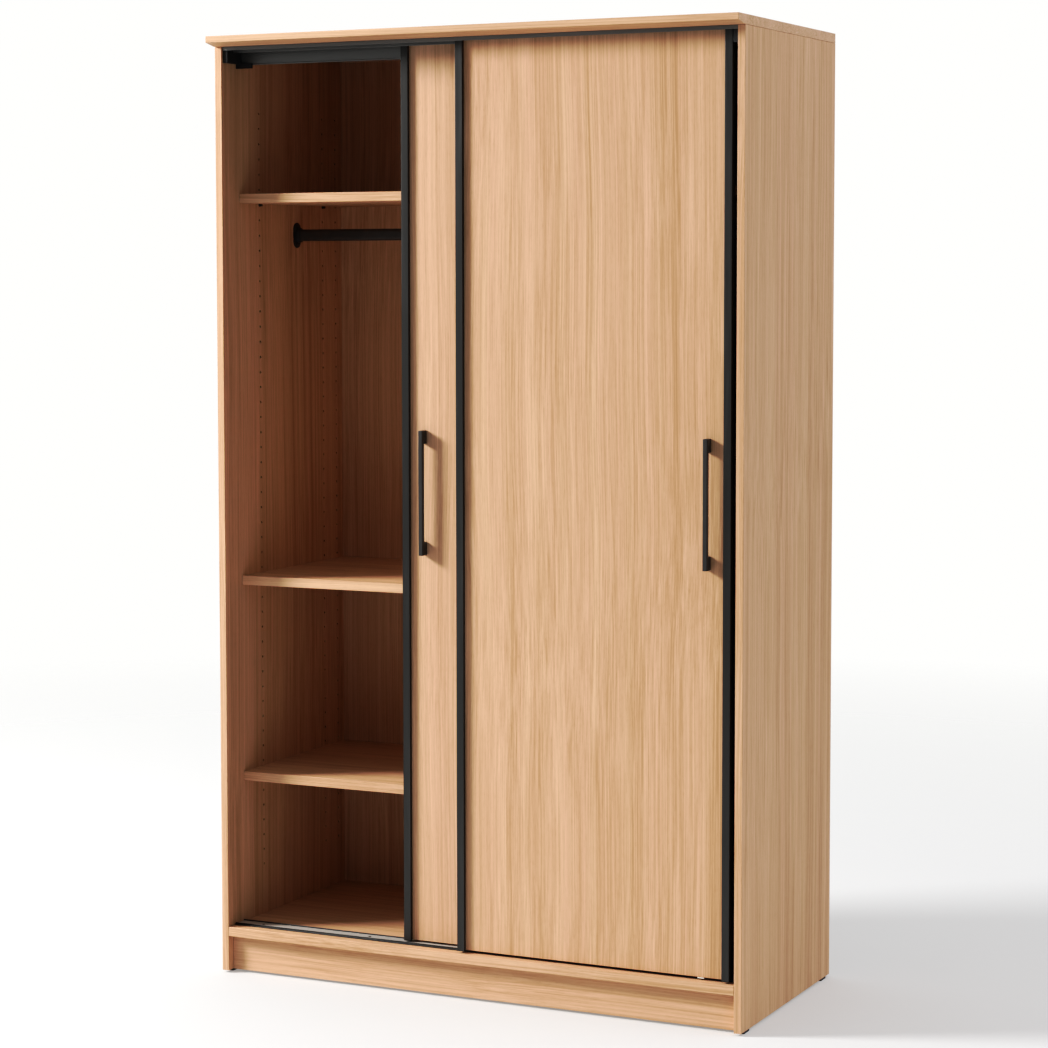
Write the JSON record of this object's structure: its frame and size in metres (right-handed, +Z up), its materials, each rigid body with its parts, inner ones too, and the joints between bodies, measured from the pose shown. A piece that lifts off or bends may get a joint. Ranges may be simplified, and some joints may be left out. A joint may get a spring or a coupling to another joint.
{
  "type": "sliding door wardrobe",
  "caption": "Freestanding oak wardrobe with sliding doors in slim black frames, bar handles, adjustable shelves and hanging rails.",
  "frame": {"origin": "centre of the wardrobe's bounding box in plan, on the floor under the glides", "axes": "+Z up, front towards -Y, +X to the right as seen from the front"},
  "size_m": [1.2, 0.578, 2.02],
  "materials": {
    "oak_carcass": "light oak decor board with fine vertical grain, satin",
    "oak_shelf": "light oak decor board with grain along its length, satin",
    "oak_door": "light oak decor panel with fine vertical grain, satin",
    "oak_back": "thin printed oak back panel, matt",
    "black_aluminium": "black anodised, satin, drawn along its length",
    "black_metal": "matt black powder coat",
    "black_plastic": "moulded matt black",
    "white_nylon": "natural white nylon",
    "dark_steel": "dark burnished steel"
  },
  "bodies": {
    "carcass": {"side_panel_left": "oak_carcass", "side_panel_right": "oak_carcass", "top_board": "oak_carcass", "bottom_board": "oak_carcass", "plinth_front": "oak_carcass", "plinth_rear": "oak_carcass", "centre_divider": "oak_carcass", "shelf_upper_left": "oak_shelf", "shelf_middle_left": "oak_shelf", "shelf_lower_left": "oak_shelf", "shelf_upper_right": "oak_shelf", "back_panel_left": "oak_back", "back_panel_right": "oak_back", "shelf_pin_upper_outer_left_front": "dark_steel", "shelf_pin_upper_outer_left_rear": "dark_steel", "shelf_pin_upper_inner_left_front": "dark_steel", "shelf_pin_upper_inner_left_rear": "dark_steel", "shelf_pin_upper_inner_right_front": "dark_steel", "shelf_pin_upper_inner_right_rear": "dark_steel", "shelf_pin_upper_outer_right_front": "dark_steel", "shelf_pin_upper_outer_right_rear": "dark_steel", "shelf_pin_lower_outer_left_front": "dark_steel", "shelf_pin_lower_outer_left_rear": "dark_steel", "shelf_pin_lower_inner_left_front": "dark_steel", "shelf_pin_lower_inner_left_rear": "dark_steel", "hanging_rail_left": "black_metal", "rail_socket_left_left": "black_plastic", "rail_socket_left_right": "black_plastic", "hanging_rail_right": "black_metal", "rail_socket_right_left": "black_plastic", "rail_socket_right_right": "black_plastic", "top_track": "black_aluminium", "bottom_track": "black_aluminium", "track_stop_left": "black_plastic", "glide_front_left": "black_plastic", "glide_rear_left": "black_plastic", "track_stop_right": "black_plastic", "glide_front_right": "black_plastic", "glide_rear_right": "black_plastic"},
    "front_door": {"front_door_panel": "oak_door", "front_door_handle": "black_metal", "front_door_stile_left": "black_aluminium", "front_door_guide_left": "black_plastic", "front_door_roller_left_housing": "black_plastic", "front_door_stile_right": "black_aluminium", "front_door_guide_right": "black_plastic", "front_door_roller_right_housing": "black_plastic"},
    "front_door_roller_left": {"front_door_roller_left_wheel": "white_nylon"},
    "front_door_roller_right": {"front_door_roller_right_wheel": "white_nylon"},
    "rear_door": {"rear_door_panel": "oak_door", "rear_door_handle": "black_metal", "rear_door_stile_left": "black_aluminium", "rear_door_guide_left": "black_plastic", "rear_door_roller_left_housing": "black_plastic", "rear_door_stile_right": "black_aluminium", "rear_door_guide_right": "black_plastic", "rear_door_roller_right_housing": "black_plastic"},
    "rear_door_roller_left": {"rear_door_roller_left_wheel": "white_nylon"},
    "rear_door_roller_right": {"rear_door_roller_right_wheel": "white_nylon"}
  },
  "joints": [
    {"name": "front_door_slide", "type": "slide", "parent": "carcass", "child": "front_door", "axis": [1, 0, 0], "range_m": [-0.538, 0]},
    {"name": "front_door_roller_left_spin", "type": "hinge", "parent": "front_door", "child": "front_door_roller_left", "pos_m": [0.0305, -0.2201, 0.1156], "axis": [0, 1, 0], "continuous": true},
    {"name": "front_door_roller_right_spin", "type": "hinge", "parent": "front_door", "child": "front_door_roller_right", "pos_m": [0.5075, -0.2201, 0.1156], "axis": [0, 1, 0], "continuous": true},
    {"name": "rear_door_slide", "type": "slide", "parent": "carcass", "child": "rear_door", "axis": [1, 0, 0], "range_m": [-0.3955, 0.1425]},
    {"name": "rear_door_roller_left_spin", "type": "hinge", "parent": "rear_door", "child": "rear_door_roller_left", "pos_m": [-0.112, -0.1861, 0.1156], "axis": [0, 1, 0], "continuous": true},
    {"name": "rear_door_roller_right_spin", "type": "hinge", "parent": "rear_door", "child": "rear_door_roller_right", "pos_m": [0.365, -0.1861, 0.1156], "axis": [0, 1, 0], "continuous": true}
  ],
  "couplings": [
    {"joint": "front_door_roller_left_spin", "follows": "front_door_slide", "rad_per_m": 100},
    {"joint": "front_door_roller_right_spin", "follows": "front_door_slide", "rad_per_m": 100},
    {"joint": "rear_door_roller_left_spin", "follows": "rear_door_slide", "rad_per_m": 100},
    {"joint": "rear_door_roller_right_spin", "follows": "rear_door_slide", "rad_per_m": 100}
  ]
}
